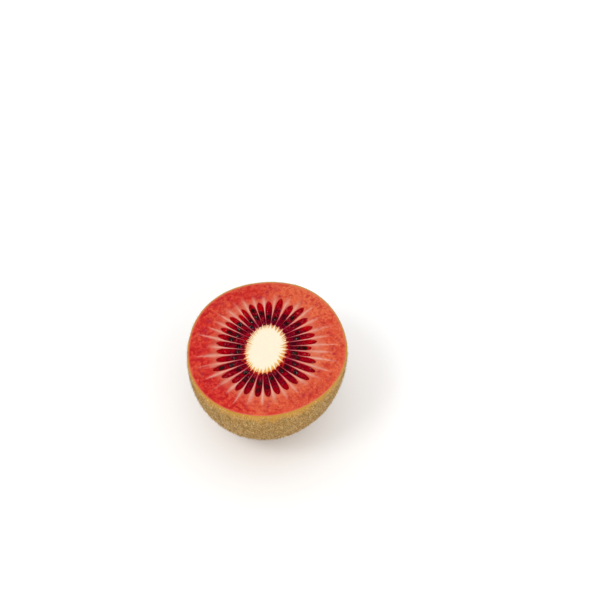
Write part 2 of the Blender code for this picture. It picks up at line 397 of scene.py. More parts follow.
def tip_share_at(column):
    """How far out the chambers reach at a column of the mesh, from the first chamber's first side on."""
    tips = np.array([chamber.tip_share for chamber in CHAMBER_LIST])
    per = COLUMNS_IN_CHAMBER + COLUMNS_IN_WALL
    index, step = column // per, column % per
    blend = np.clip((step - COLUMNS_IN_CHAMBER) / COLUMNS_IN_WALL, 0, 1)
    return tips[index] * (1 - blend) + tips[(index + 1) % CHAMBERS] * blend


def half_turn(chamber, place):
    """Half a chamber's width as a turn round the fruit, at a place along it."""
    nudge = 0.01
    share = chamber.tip_share * place
    turns = np.full_like(place, chamber.turn)
    metres = np.hypot(*(face_point(turns + nudge, share) - face_point(turns - nudge, share)).T)
    return chamber.half_width(place) / metres * 2 * nudge


def column_turn(column, place, outwards):
    """The direction of a column. Columns follow the chambers' sides, and spread evenly towards the rim."""
    per = COLUMNS_IN_CHAMBER + COLUMNS_IN_WALL
    index, step = column // per, column % per
    turn = np.empty(len(column))
    for number, chamber in enumerate(CHAMBER_LIST):
        after = CHAMBER_LIST[(number + 1) % CHAMBERS]
        gap = (after.turn - chamber.turn) % FULL_TURN
        mine = index == number
        even = 0.5 * gap * COLUMNS_IN_CHAMBER / per
        here, there = (
            half_turn(side, np.minimum(place[mine], 1)) * (1 - outwards[mine]) + even * outwards[mine]
            for side in (chamber, after)
        )
        inside = np.sin(math.pi * (step[mine] / COLUMNS_IN_CHAMBER - 0.5)) * here
        blend = (step[mine] - COLUMNS_IN_CHAMBER) / COLUMNS_IN_WALL
        between = here + (gap - here - there) * blend
        turn[mine] = chamber.turn + np.where(step[mine] <= COLUMNS_IN_CHAMBER, inside, between)
    return turn


def flesh_plan(column, ring):
    """Each point's flat place, its share of the way from core's edge to rim, and its depth at the side."""
    chambers_from = CORE_FLOOR_RINGS
    outer_from = chambers_from + CHAMBER_RINGS
    under_from = outer_from + OUTER_RINGS
    inner = np.clip(ring / chambers_from, 0, 1)
    place = np.clip((ring - chambers_from) / CHAMBER_RINGS, 0, 1)
    outwards = np.clip((ring - outer_from) / OUTER_RINGS, 0, 1)
    under = np.clip((ring - under_from) / UNDER_RINGS, 0, 1)
    turn = column_turn(column, place, outwards)
    tip = tip_share_at(column)
    share = np.where(ring > outer_from, tip + (1 - tip) * outwards, tip * place)
    flat = face_point(turn, share)
    flat = np.where((ring < chambers_from)[:, None], core_edge(turn, inner), flat)
    depth_share = LAST_DEPTH_SHARE * np.sin(0.5 * math.pi * under)
    inset = 1 - FLESH_UNDER_SKIN * SKIN_THICKNESS / MEAN_RADIUS
    below = AXIS + outline(turn) * (rounding(depth_share) * inset)[:, None]
    below = np.where((ring >= FLESH_RINGS)[:, None], AXIS, below)
    flat = np.where((ring > under_from)[:, None], below, AXIS + (flat - AXIS) * inset)
    return flat, np.where(ring < chambers_from, inner - 1, share), depth_share


def nearest_chamber(flat):
    """For each point: its distance outside the nearest chamber, and its place along that chamber."""
    distance, place = np.full(len(flat), 1.0), np.zeros(len(flat))
    for chamber in CHAMBER_LIST:
        here, along = chamber_distance(flat, chamber)
        nearer = here < distance
        distance, place = np.where(nearer, here, distance), np.where(nearer, along, place)
    return distance, place


def wall_lines():
    """The crest of each wall between two chambers: (start at the core, direction, length to the rim)."""
    lines = []
    for chamber, after in zip(CHAMBER_LIST, CHAMBER_LIST[1:] + CHAMBER_LIST[:1]):
        turn = chamber.turn + 0.5 * ((after.turn - chamber.turn) % FULL_TURN)
        start, way = core_edge(turn), rim_point(turn) - core_edge(turn)
        length = np.hypot(*way)
        lines.append((start, way / length, length))
    return lines


# Along the walls run pale lines, in the middle of beige wedges: (share of the way to the rim, half width)
LINE_WIDTHS = ((0.0, 0.09 * MM), (0.3, 0.11 * MM), (0.5, 0.24 * MM), (0.65, 0.21 * MM), (0.8, 0.16 * MM))
LINE_STRENGTH = (0.7, 1.0)
WEDGE_WIDTHS = ((0.0, 0.12 * MM), (0.3, 0.30 * MM), (0.5, 0.80 * MM), (0.65, 0.55 * MM), (0.8, 0.15 * MM))
LINE_ENDS = (0.66, 0.94)
LINE_FADE = 0.20
WEDGE_FADE = (0.50, 0.76)
LINE_BEND = 0.35 * MM
SIDE_LINE_APART = (-0.8 * MM, 0.8 * MM)
SIDE_LINE_STRENGTH = (-0.6, 0.7)
SIDE_LINE_WIDTH = 0.6
SIDE_LINE_FROM = (0.40, 0.52)
LINE_WIDTH_DRAW = (0.75, 1.25)
LINE_RISE = 0.04 * MM
# How strongly a line shows, as it leaves the core
LINE_SHOWS_AT = (0.05, 0.15, 0.3, 0.5)
LINE_SHOWS = (0.2, 0.3, 0.75)
WEDGE_WIDTH_DRAW = (0.8, 1.2)
WEDGE_FADE_DRAW = 0.06
WEDGE_STRENGTH = (0.5, 1.0)


def wall_marks(flat, draw):
    """How strongly the pale lines and the beige wedges show at each point."""
    lines, wedges = np.zeros(len(flat)), np.zeros(len(flat))
    for start, along, length in wall_lines():
        offset = flat - start
        share = offset @ along / length
        bend = draw.uniform(-LINE_BEND, LINE_BEND)
        across = offset @ np.array([-along[1], along[0]]) - bend * smooth(0.3, 1.0, share)
        outside = share > -0.05
        end = draw.uniform(*LINE_ENDS)
        width = np.interp(share, *zip(*LINE_WIDTHS)) * draw.uniform(*LINE_WIDTH_DRAW)
        line = np.exp(-((across / width) ** 2)) * smooth(end, end - LINE_FADE, share) * outside
        strength = draw.uniform(*LINE_STRENGTH)
        lines = np.maximum(lines, line * np.interp(share, LINE_SHOWS_AT, (*LINE_SHOWS, strength)))
        beside = across - draw.uniform(*SIDE_LINE_APART)
        line = np.exp(-((beside / (SIDE_LINE_WIDTH * width)) ** 2))
        line = line * smooth(*SIDE_LINE_FROM, share) * smooth(end, 0.5 * end, share)
        lines = np.maximum(lines, line * draw.uniform(*SIDE_LINE_STRENGTH))
        width = np.interp(share, *zip(*WEDGE_WIDTHS)) * draw.uniform(*WEDGE_WIDTH_DRAW)
        fade = np.array(WEDGE_FADE) + draw.uniform(-WEDGE_FADE_DRAW, WEDGE_FADE_DRAW)
        wedge = np.exp(-((across / width) ** 2)) * smooth(fade[1], fade[0], share) * outside
        wedges = np.maximum(wedges, wedge * draw.uniform(*WEDGE_STRENGTH))
    return lines, wedges


# The walls turn crimson at the core, and farther out in two parts of the ring. Each part has its
# direction and half width in degrees, and its strength.
FLUSHES = ((95.0, 80.0, 0.95), (300.0, 60.0, 0.55))
FLUSH_REACH = (0.08, 0.28)
CORE_FLUSH = 0.75
CORE_FLUSH_REACH = (0.02, 0.13)


def wall_flush(flat, share):
    """How crimson the walls are at each point."""
    turn = np.degrees(np.arctan2(*(flat - AXIS).T[::-1]))
    flush = np.zeros(len(flat))
    for direction, half_width, strength in FLUSHES:
        apart = np.abs((turn - direction + 180) % 360 - 180) / half_width
        flush = np.maximum(flush, strength * smooth(1.0, 0.6, apart))
    at_core = CORE_FLUSH * smooth(CORE_FLUSH_REACH[1], CORE_FLUSH_REACH[0], share)
    return np.maximum(flush * smooth(FLUSH_REACH[1], FLUSH_REACH[0], share), at_core)


VEIN_SHARES = (0.60, 0.88)
VEINS_PER_WALL = 3
VEIN_RADII = (0.4 * MM, 0.9 * MM)


def vein_spots(flat, draw):
    """Cut ends of the fine veins that run up the fruit, in a loose ring outside the chambers."""
    strength = np.zeros(len(flat))
    for number in range(CHAMBERS * VEINS_PER_WALL):
        turn = FULL_TURN * (number + draw.uniform(-0.4, 0.4)) / (CHAMBERS * VEINS_PER_WALL)
        centre = face_point(turn, draw.uniform(*VEIN_SHARES))
        radius = draw.uniform(*VEIN_RADII)
        distance = np.hypot(*(flat - centre).T) / radius
        strength = np.maximum(strength, np.exp(-(distance**2)) * draw.uniform(-0.4, 1.1))
    return strength


def make_flesh():
    piece, column, ring = globe("kiwi_flesh", COLUMNS, FLESH_RINGS)
    flat, share, depth_share = flesh_plan(column, ring)
    distance, place = nearest_chamber(flat)
    draw = random.Random(RANDOM_SEED + 1)
    line, wedge = wall_marks(flat, draw)
    crown = FLESH_CROWN * smooth(0.3, 0.6, share) * (1 - 0.9 * smooth(0.9, 1.0, share))
    hollow = HOLLOW_DEPTH * smooth(-0.02 * MM, HOLLOW_EDGE, -distance)
    under_core = HOLLOW_DEPTH * smooth(0, 0.1, -share)
    height = CUT_HEIGHT + crown - np.maximum(hollow, under_core) + LINE_RISE * line * smooth(0.05, 0.3, share)
    side = CUT_HEIGHT - HALF_LENGTH * depth_share
    height = np.where(depth_share > 0, np.maximum(side, DIMPLE_DEPTH + SKIN_THICKNESS), height)
    move_points(piece, np.column_stack([flat, height]))
    add_field(piece, "pale_line", line)
    add_field(piece, "wedge", wedge)
    add_field(piece, "vein", vein_spots(flat, draw))
    add_field(piece, "flush", wall_flush(flat, share))
    add_field(piece, "beside_chamber", distance / MM)
    add_field(piece, "outwards", share)
    top = piece.vertex_groups.new(name="cut face")
    on_top = (depth_share == 0) & (share > 0.02) & (share < 0.985)
    top.add(np.flatnonzero(on_top).tolist(), 1.0, "REPLACE")
    roughen(piece, "cells", 0.35 * MM, 0.05 * MM, direction="Z")
    piece.modifiers["cells"].vertex_group = "cut face"
    roughen(piece, "knife marks", 2.5 * MM, 0.09 * MM, direction="Z")
    piece.modifiers["knife marks"].vertex_group = "cut face"
    apply_modifiers(piece)
    settle(piece)
    return piece


# The core, a low oval dome. Pale rays run out of its edge along the walls, and smaller ones between some of
# these. Golden notches run into it between the rays.

CORE_COLUMNS = CHAMBERS * 24
CORE_RINGS = 52
CORE_TOP_RINGS = 42
CORE_DOME = 0.3 * MM
CORE_DEEP = 0.8 * MM
CORE_INSET = 0.2 * MM
CORE_UNDERSIDE_RISE = 0.6 * MM
SHORTEST_NOTCH = 0.1 * MM
RAY_RISE = 0.10 * MM
RAY_LENGTHS = (0.4 * MM, 1.0 * MM)
SMALL_RAY_LENGTHS = (0.2 * MM, 0.6 * MM)
RAYS_FROM = 0.75
RAY_POINT = 0.8
RAY_WIDTH = 0.65
RAY_PLACES = (0.44, 0.56)
SMALL_RAY_SHIFT = 0.06
# Half the room of a wall's ray and of a small one, where both share a gap
SHARED_ROOM = (0.27, 0.23)
NOTCH_LENGTHS = (1.3 * MM, 2.6 * MM)
SMALL_NOTCH_LENGTHS = (1.1 * MM, 2.1 * MM)
WIDE_NOTCHES = 0.6
NOTCH_WIDTH = 0.95
NOTCH_POINT = 0.6
FRONT = math.radians(278.0)
FRONT_HALF_WIDTH = math.radians(48.0)


def apart(turn, other):
    return np.abs((turn - other + math.pi) % FULL_TURN - math.pi)


def ray_list(draw):
    """Each ray's direction, half the room that it has, its length and its notches' length.

    Small rays stand between some of the walls' rays, but not at the front.
    """
    rays = []
    for chamber, after in zip(CHAMBER_LIST, CHAMBER_LIST[1:] + CHAMBER_LIST[:1]):
        gap = (after.turn - chamber.turn) % FULL_TURN
        middle = chamber.turn + draw.uniform(*RAY_PLACES) * gap
        if apart(middle, FRONT) < FRONT_HALF_WIDTH or draw.random() < WIDE_NOTCHES:
            rays.append((middle, 0.5 * gap, draw.uniform(*RAY_LENGTHS), draw.uniform(*NOTCH_LENGTHS)))
        else:
            between = after.turn + draw.uniform(-SMALL_RAY_SHIFT, SMALL_RAY_SHIFT) * gap
            for place, room, lengths in zip((middle, between), SHARED_ROOM, (RAY_LENGTHS, SMALL_RAY_LENGTHS)):
                rays.append((place, room * gap, draw.uniform(*lengths), draw.uniform(*SMALL_NOTCH_LENGTHS)))
    return rays


def core_rays(turn, draw):
    """For each turn: the nearest ray's reach, how near its middle is, and the notches' length."""
    reach, ray, notch = (np.zeros(len(turn)) for _ in range(3))
    for middle, half_gap, length, notch_length in ray_list(draw):
        aside = apart(turn, middle) / half_gap
        nearness = np.clip(1 - aside, 0, 1)
        notch = np.where(nearness > ray, notch_length, notch)
        ray = np.maximum(ray, nearness)
        reach = np.maximum(reach, length * np.clip(1 - aside / RAY_WIDTH, 0, 1) ** RAY_POINT)
    return reach, ray, notch


def make_core():
    piece, column, ring = globe("kiwi_core", CORE_COLUMNS, CORE_RINGS)
    turn = column / CORE_COLUMNS * FULL_TURN
    draw = random.Random(RANDOM_SEED + 2)
    on_top = ring <= CORE_TOP_RINGS
    share = np.where(on_top, ring / CORE_TOP_RINGS, (CORE_RINGS - ring) / (CORE_RINGS - CORE_TOP_RINGS))
    reach, ray, notch = core_rays(turn, draw)
    middle = core_edge(turn, np.zeros(len(turn)))
    outwards = core_edge(turn) - middle
    radius = np.hypot(*outwards.T)
    stretch = (reach - CORE_INSET) * smooth(RAYS_FROM, 1.0, share)
    flat = core_edge(turn, share) + outwards * (stretch / radius)[:, None]
    top = CUT_HEIGHT + CORE_DOME * (1 - share**2) + RAY_RISE * share**2
    bottom = CUT_HEIGHT - CORE_DEEP + CORE_UNDERSIDE_RISE * share**2
    move_points(piece, np.column_stack([flat, np.where(on_top, top, bottom)]))
    from_edge = np.hypot(*(flat - middle).T) - radius
    inwards = from_edge / np.maximum(notch, SHORTEST_NOTCH)
    notch_width = NOTCH_WIDTH * np.clip(1 + inwards, 0, 1) ** NOTCH_POINT
    add_field(piece, "from_edge", from_edge / MM)
    add_field(piece, "notch", smooth(-0.15, 0.15, notch_width - ray) * smooth(0.0, 0.25, notch_width))
    roughen(piece, "core fibres", 0.5 * MM, 0.05 * MM, direction="Z")
    apply_modifiers(piece)
    settle(piece)
    return piece


# The crimson pulp in the chambers. One finger of it is modelled, and fitted to each chamber.

FINGER_LENGTH = 8.6 * MM
FINGER_DEPTH = 0.85 * MM
FINGER_LOOPS = (0.12, 0.35, 0.6, 0.82, 0.93)
PULP_OVERLAP = 0.28 * MM
PULP_UNDER_CORE = 1.2 * MM
PULP_PAST_TIP = 0.45 * MM


def make_finger():
    bpy.ops.mesh.primitive_cube_add(size=1, location=(0.5 * FINGER_LENGTH, 0, 0))
    finger = start_piece("pulp_finger")
    finger.scale = (FINGER_LENGTH, 2 * CHAMBER_HALF_WIDTH, FINGER_DEPTH)
    bpy.ops.object.transform_apply(location=True, rotation=True, scale=True)
    edit(finger, "VERT")
    for loop in FINGER_LOOPS:
        bpy.ops.mesh.select_all(action="SELECT")
        bpy.ops.mesh.bisect(plane_co=(loop * FINGER_LENGTH, 0, 0), plane_no=(1, 0, 0))
    for loop in (0.0, *FINGER_LOOPS, 1.0):
        select_points(finger, lambda point, loop=loop: abs(point.x - loop * FINGER_LENGTH) < 0.01 * MM)
        bpy.ops.transform.resize(value=(1, 0.55 if loop == 1.0 else 1.0, 1 if 0 < loop < 1 else 0.8))
    select_faces(finger, lambda centre, normal: normal.z > 0.8)
    bpy.ops.mesh.inset(thickness=0.09 * MM)
    bpy.ops.transform.translate(value=(0, 0, 0.05 * MM))
    done_editing()
    rounder = finger.modifiers.new("rounder", "SUBSURF")
    rounder.levels = rounder.render_levels = 3
    apply_modifiers(finger)
    points = points_of(finger)
    low, high = points.min(axis=0), points.max(axis=0)
    points[:, 0] = (points[:, 0] - low[0]) / (high[0] - low[0]) * FINGER_LENGTH
    points[:, 1] *= 2 * CHAMBER_HALF_WIDTH / (high[1] - low[1])
    points[:, 2] += PULP_TOP - high[2]
    move_points(finger, points)
    add_field(finger, "across", points[:, 1] / CHAMBER_HALF_WIDTH)
    return finger


def beside_seeds(points, places):
    """Distance of points from the nearest seed's middle, as a share of its half length or half width."""
    nearest = np.full(len(points), 9.0)
    for middle, direction in places:
        offset = points[:, :2] - middle
        along = offset @ towards(direction) / (0.5 * SEED_LENGTH)
        across = offset @ towards(direction + math.pi / 2) / (0.5 * SEED_WIDTH)
        nearest = np.minimum(nearest, np.hypot(along, across))
    return nearest


def make_pulp(draw):
    finger = make_finger()
    pieces = []
    for chamber in CHAMBER_LIST:
        part = copy_to(finger, Matrix())
        points = points_of(part)
        length = PULP_UNDER_CORE + chamber.length + PULP_PAST_TIP
        points[:, 0] = points[:, 0] / FINGER_LENGTH * length - PULP_UNDER_CORE
        place = points[:, 0] / chamber.length
        points[:, 1] *= (chamber.half_width(place) + PULP_OVERLAP) / CHAMBER_HALF_WIDTH
        move_points(part, points)
        turned = Matrix.Rotation(chamber.direction, 4, "Z")
        part.data.transform(Matrix.Translation((*chamber.start, CUT_HEIGHT)) @ turned)
        add_field(part, "place", place)
        add_field(part, "tone", np.full(len(points), draw.random()))
        pieces.append(part)
    bpy.data.objects.remove(finger)
    pulp = join(pieces, "chamber_pulp")
    roughen(pulp, "pulp cells", 0.45 * MM, 0.07 * MM, direction="Z")
    apply_modifiers(pulp)
    settle(pulp)
    add_field(pulp, "beside_seed", beside_seeds(points_of(pulp), seed_places()))
    return pulp


# The seeds

SEED_TAPER_LOOPS = (0.1, -0.12, -0.25, -0.38)
SEED_TAPER = 0.92
SEED_RISE = (-0.28 * MM, 0.12 * MM)
SEED_SIZES = (0.92, 1.08)
SEED_TILT = 0.15


def make_seed():
    bpy.ops.mesh.primitive_uv_sphere_add(segments=20, ring_count=14, radius=0.5)
    seed = start_piece("seed")
    seed.rotation_euler = (0, math.pi / 2, 0)
    bpy.ops.object.transform_apply(location=False, rotation=True, scale=False)
    edit(seed, "VERT")
    for loop in SEED_TAPER_LOOPS:
        select_points(seed, lambda point, loop=loop: point.x < loop)
        bpy.ops.transform.resize(value=(1, SEED_TAPER, SEED_TAPER))
    done_editing()
    return seed


def seed_places():
    """Middle and direction of every seed on the face."""
    places = []
    for chamber in CHAMBER_LIST:
        for place, lean in zip(chamber.seed_places, chamber.seed_leans):
            middle = face_point(chamber.turn, chamber.tip_share * place)
            places.append((middle, chamber.direction + lean))
    return places


def make_seeds(draw):
    seed = make_seed()
    pieces = []
    for middle, direction in seed_places():
        size = draw.uniform(*SEED_SIZES)
        height = CUT_HEIGHT - CHAMBER_DEPTH + draw.uniform(*SEED_RISE)
        place = Matrix.Translation((*middle, height)) @ Matrix.Rotation(direction, 4, "Z")
        shape = Matrix.Diagonal((SEED_LENGTH * size, SEED_WIDTH * size, SEED_THICKNESS, 1))
        part = copy_to(seed, place @ Matrix.Rotation(draw.uniform(-SEED_TILT, SEED_TILT), 4, "Y") @ shape)
        add_field(part, "tone", np.full(len(part.data.vertices), draw.random()))
        pieces.append(part)
    bpy.data.objects.remove(seed)
    seeds = join(pieces, "kiwi_seeds")
    settle(seeds)
    return seeds


# The woody scar of the stalk, in the dimple under the fruit

def make_scar():
    height = DIMPLE_DEPTH + 0.5 * MM - SCAR_RECESS
    bpy.ops.mesh.primitive_cylinder_add(
        vertices=48, radius=SCAR_RADIUS, depth=height, location=(*AXIS, SCAR_RECESS + 0.5 * height)
    )
    scar = start_piece("stalk_scar")
    bpy.ops.object.transform_apply(location=True, rotation=True, scale=True)
    edit(scar)
    select_faces(scar, lambda centre, normal: normal.z < -0.8)
    for inset, rise in ((0.25, -0.05), (0.35, 0.12), (0.3, 0.18), (0.5, -0.04), (0.5, -0.08)):
        bpy.ops.mesh.inset(thickness=inset * MM)
        bpy.ops.transform.translate(value=(0, 0, rise * MM))
    bpy.ops.mesh.select_all(action="SELECT")
    bpy.ops.mesh.subdivide(number_cuts=2)
    done_editing()
    roughen(scar, "scar wood", 0.5 * MM, 0.35 * MM)
    apply_modifiers(scar)
    settle(scar)
    return scar


# The fuzz: short stiff hairs over all of the skin

HAIR_LENGTH = 0.85 * MM
HAIR_RADIUS = 0.048 * MM
HAIR_TILTS = (0.6, 1.3)
HAIR_TURNS = (-0.9, 1.7)
HAIR_SIZES = (0.5, 1.15)
HAIR_POINTS = 4


def make_hair():
    bpy.ops.mesh.primitive_cone_add(vertices=3, radius1=HAIR_RADIUS, radius2=0, depth=HAIR_LENGTH)
    hair = start_piece("hair")
    hair.data.transform(Matrix.Translation((0, 0, 0.45 * HAIR_LENGTH)))
    return hair


def scatter_nodes(hair):
    """Geometry nodes that stand copies of the hair on a surface, tilted and sized at random, as one mesh."""
    tree = bpy.data.node_groups.new("fuzz", "GeometryNodeTree")
    tree.interface.new_socket("Geometry", in_out="INPUT", socket_type="NodeSocketGeometry")
    tree.interface.new_socket("Geometry", in_out="OUTPUT", socket_type="NodeSocketGeometry")
    add = tree.nodes.new
    start, end = add("NodeGroupInput"), add("NodeGroupOutput")
    scatter, stand, realize = (
        add("GeometryNodeDistributePointsOnFaces"),
        add("GeometryNodeInstanceOnPoints"),
        add("GeometryNodeRealizeInstances"),
    )
    source, tilt, turn, size = (
        add("GeometryNodeObjectInfo"),
        add("FunctionNodeRandomValue"),
        add("FunctionNodeRotateRotation"),
        add("FunctionNodeRandomValue"),
    )
    fuzzy, density = add("GeometryNodeInputNamedAttribute"), add("ShaderNodeMath")
    fuzzy.inputs["Name"].default_value = "fuzzy"
    density.operation = "MULTIPLY"
    density.inputs[1].default_value = FUZZ_PER_M2
    scatter.inputs["Seed"].default_value = RANDOM_SEED
    source.inputs["Object"].default_value = hair
    tilt.data_type = "FLOAT_VECTOR"
    tilt.inputs["Min"].default_value = (HAIR_TILTS[0], 0, HAIR_TURNS[0])
    tilt.inputs["Max"].default_value = (HAIR_TILTS[1], 0, HAIR_TURNS[1])
    turn.rotation_space = "LOCAL"
    size.inputs[2].default_value, size.inputs[3].default_value = HAIR_SIZES
    link = tree.links.new
    link(fuzzy.outputs["Attribute"], density.inputs[0])
    link(density.outputs[0], scatter.inputs["Density"])
    link(start.outputs[0], scatter.inputs["Mesh"])
    link(scatter.outputs["Points"], stand.inputs["Points"])
    link(source.outputs["Geometry"], stand.inputs["Instance"])
    link(scatter.outputs["Rotation"], turn.inputs[0])
    link(tilt.outputs["Value"], turn.inputs[1])
    link(turn.outputs[0], stand.inputs["Rotation"])
    link(size.outputs[1], stand.inputs["Scale"])
    link(stand.outputs["Instances"], realize.inputs["Geometry"])
    link(realize.outputs["Geometry"], end.inputs[0])
    return tree


def make_fuzz(skin):
    hair = make_hair()
    fuzz = copy_to(skin, Matrix())
    fuzz.name = fuzz.data.name = "skin_fuzz"
    scatter = fuzz.modifiers.new("scatter", "NODES")
    scatter.node_group = scatter_nodes(hair)
    apply_modifiers(fuzz)
    bpy.data.objects.remove(hair)
    points = points_of(fuzz)
    points[:, 2] = np.maximum(points[:, 2], 0)
    move_points(fuzz, points)
    draw = np.random.default_rng(RANDOM_SEED)
    add_field(fuzz, "tone", np.repeat(draw.random(len(points) // HAIR_POINTS), HAIR_POINTS))
    settle(fuzz)
    return fuzz


# Materials

def colour(red, green, blue):
    """A display colour of 0 to 255 as the linear colour that a shader takes."""
    shares = [value / 255 for value in (red, green, blue)]
    linear = [share / 12.92 if share <= 0.04045 else ((share + 0.055) / 1.055) ** 2.4 for share in shares]
    return (*linear, 1.0)


class Finish:
    """A material, whose nodes are made and linked by short calls. Each call returns the new node's output."""

    def __init__(self, name, **settings):
        self.material = bpy.data.materials.new(name)
        self.material.use_nodes = True
        self.tree = self.material.node_tree
        self.shader = self.tree.nodes["Principled BSDF"]
        self.here = self.node("ShaderNodeTexCoord").outputs["Object"]
        for socket, value in settings.items():
            self.shader.inputs[socket.replace("_", " ")].default_value = value

    def node(self, kind, inputs=(), **settings):
        made = self.tree.nodes.new(kind)
        for key, value in settings.items():
            setattr(made, key, value)
        for key, value in dict(inputs).items():
            if isinstance(value, bpy.types.NodeSocket):
                self.tree.links.new(value, made.inputs[key])
            else:
                made.inputs[key].default_value = value
        return made

    def noise(self, size, detail=3.0, rough=0.55, at=None):
        """Uneven values about 0.5, with patches of a size in metres."""
        inputs = {"Vector": at or self.here, "Scale": 1 / size, "Detail": detail, "Roughness": rough}
        return self.node("ShaderNodeTexNoise", inputs).outputs["Fac"]

    def cells(self, size):
        return self.node("ShaderNodeTexVoronoi", {"Vector": self.here, "Scale": 1 / size}).outputs[0]

    def field(self, name):
        return self.node("ShaderNodeAttribute", attribute_name=name).outputs["Fac"]

    def span(self, value, low, high, start=0.0, end=1.0):
        inputs = {"Value": value, "From Min": low, "From Max": high, "To Min": start, "To Max": end}
        return self.node("ShaderNodeMapRange", inputs, interpolation_type="SMOOTHSTEP").outputs[0]

    def maths(self, operation, first, second):
        return self.node("ShaderNodeMath", {0: first, 1: second}, operation=operation).outputs[0]

    def times(self, first, second):
        return self.maths("MULTIPLY", first, second)

    def mix(self, share, first, second):
        return self.node("ShaderNodeMix", {0: share, 6: first, 7: second}, data_type="RGBA").outputs[2]

    def place(self, axis):
        return self.node("ShaderNodeSeparateXYZ", {0: self.here}).outputs[axis]

    def colour(self, value):
        self.tree.links.new(value, self.shader.inputs["Base Color"])

    def bump(self, value, depth):
        made = self.node("ShaderNodeBump", {"Height": value, "Distance": depth, "Strength": 1.0})
        self.tree.links.new(made.outputs[0], self.shader.inputs["Normal"])

    def on(self, piece):
        piece.data.materials.clear()
        piece.data.materials.append(self.material)


def skin_finish():
    sheen = {"Sheen_Weight": 0.10, "Sheen_Roughness": 0.5}
    finish = Finish("kiwi skin", Roughness=0.75, Specular_IOR_Level=0.2, **sheen)
    patches = finish.span(finish.noise(7 * MM), 0.35, 0.65)
    ground = finish.mix(patches, colour(160, 118, 46), colour(170, 132, 60))
    greener = finish.span(finish.noise(3 * MM, detail=4), 0.50, 0.70)
    ground = finish.mix(finish.times(greener, 0.5), ground, colour(134, 120, 40))
    specks = finish.span(finish.noise(0.7 * MM, detail=3, rough=0.8), 0.50, 0.57)
    ground = finish.mix(finish.times(specks, 0.9), ground, colour(222, 180, 116))
    dark = finish.span(finish.noise(0.8 * MM, detail=4, rough=0.8), 0.52, 0.59)
    ground = finish.mix(finish.times(dark, 0.7), ground, colour(92, 60, 20))
    uneven = finish.span(finish.noise(2.5 * MM), 0.3, 0.7, -1.6 * MM, 1.6 * MM)
    depth = finish.maths("ADD", finish.place("Z"), uneven)
    gold = finish.span(depth, CUT_HEIGHT - 4.6 * MM, CUT_HEIGHT - 0.6 * MM)
    ground = finish.mix(finish.times(gold, 0.9), ground, colour(196, 142, 50))
    finish.colour(ground)
    finish.bump(finish.noise(0.25 * MM, detail=4), 0.12 * MM)
    return finish


def fuzz_finish():
    finish = Finish("skin fuzz", Roughness=0.8, Specular_IOR_Level=0.15)
    tone = finish.field("tone")
    ground = finish.mix(finish.span(tone, 0.0, 0.6), colour(124, 88, 34), colour(198, 150, 72))
    ground = finish.mix(finish.span(tone, 0.66, 0.80), ground, colour(255, 226, 170))
    patches = finish.span(finish.noise(0.9 * MM, detail=2), 0.50, 0.60)
    ground = finish.mix(finish.times(patches, 0.3), ground, colour(150, 108, 50))
    # Painted highlight: near the cut, some hairs are coloured near white to stand in for small glints along
    # the rim.
    at_rim = finish.span(finish.place("Z"), CUT_HEIGHT - 0.6 * MM, CUT_HEIGHT - 0.3 * MM)
    painted_glints = finish.times(at_rim, finish.span(tone, 0.6, 0.7))
    finish.colour(finish.mix(painted_glints, ground, colour(255, 252, 242)))
    return finish


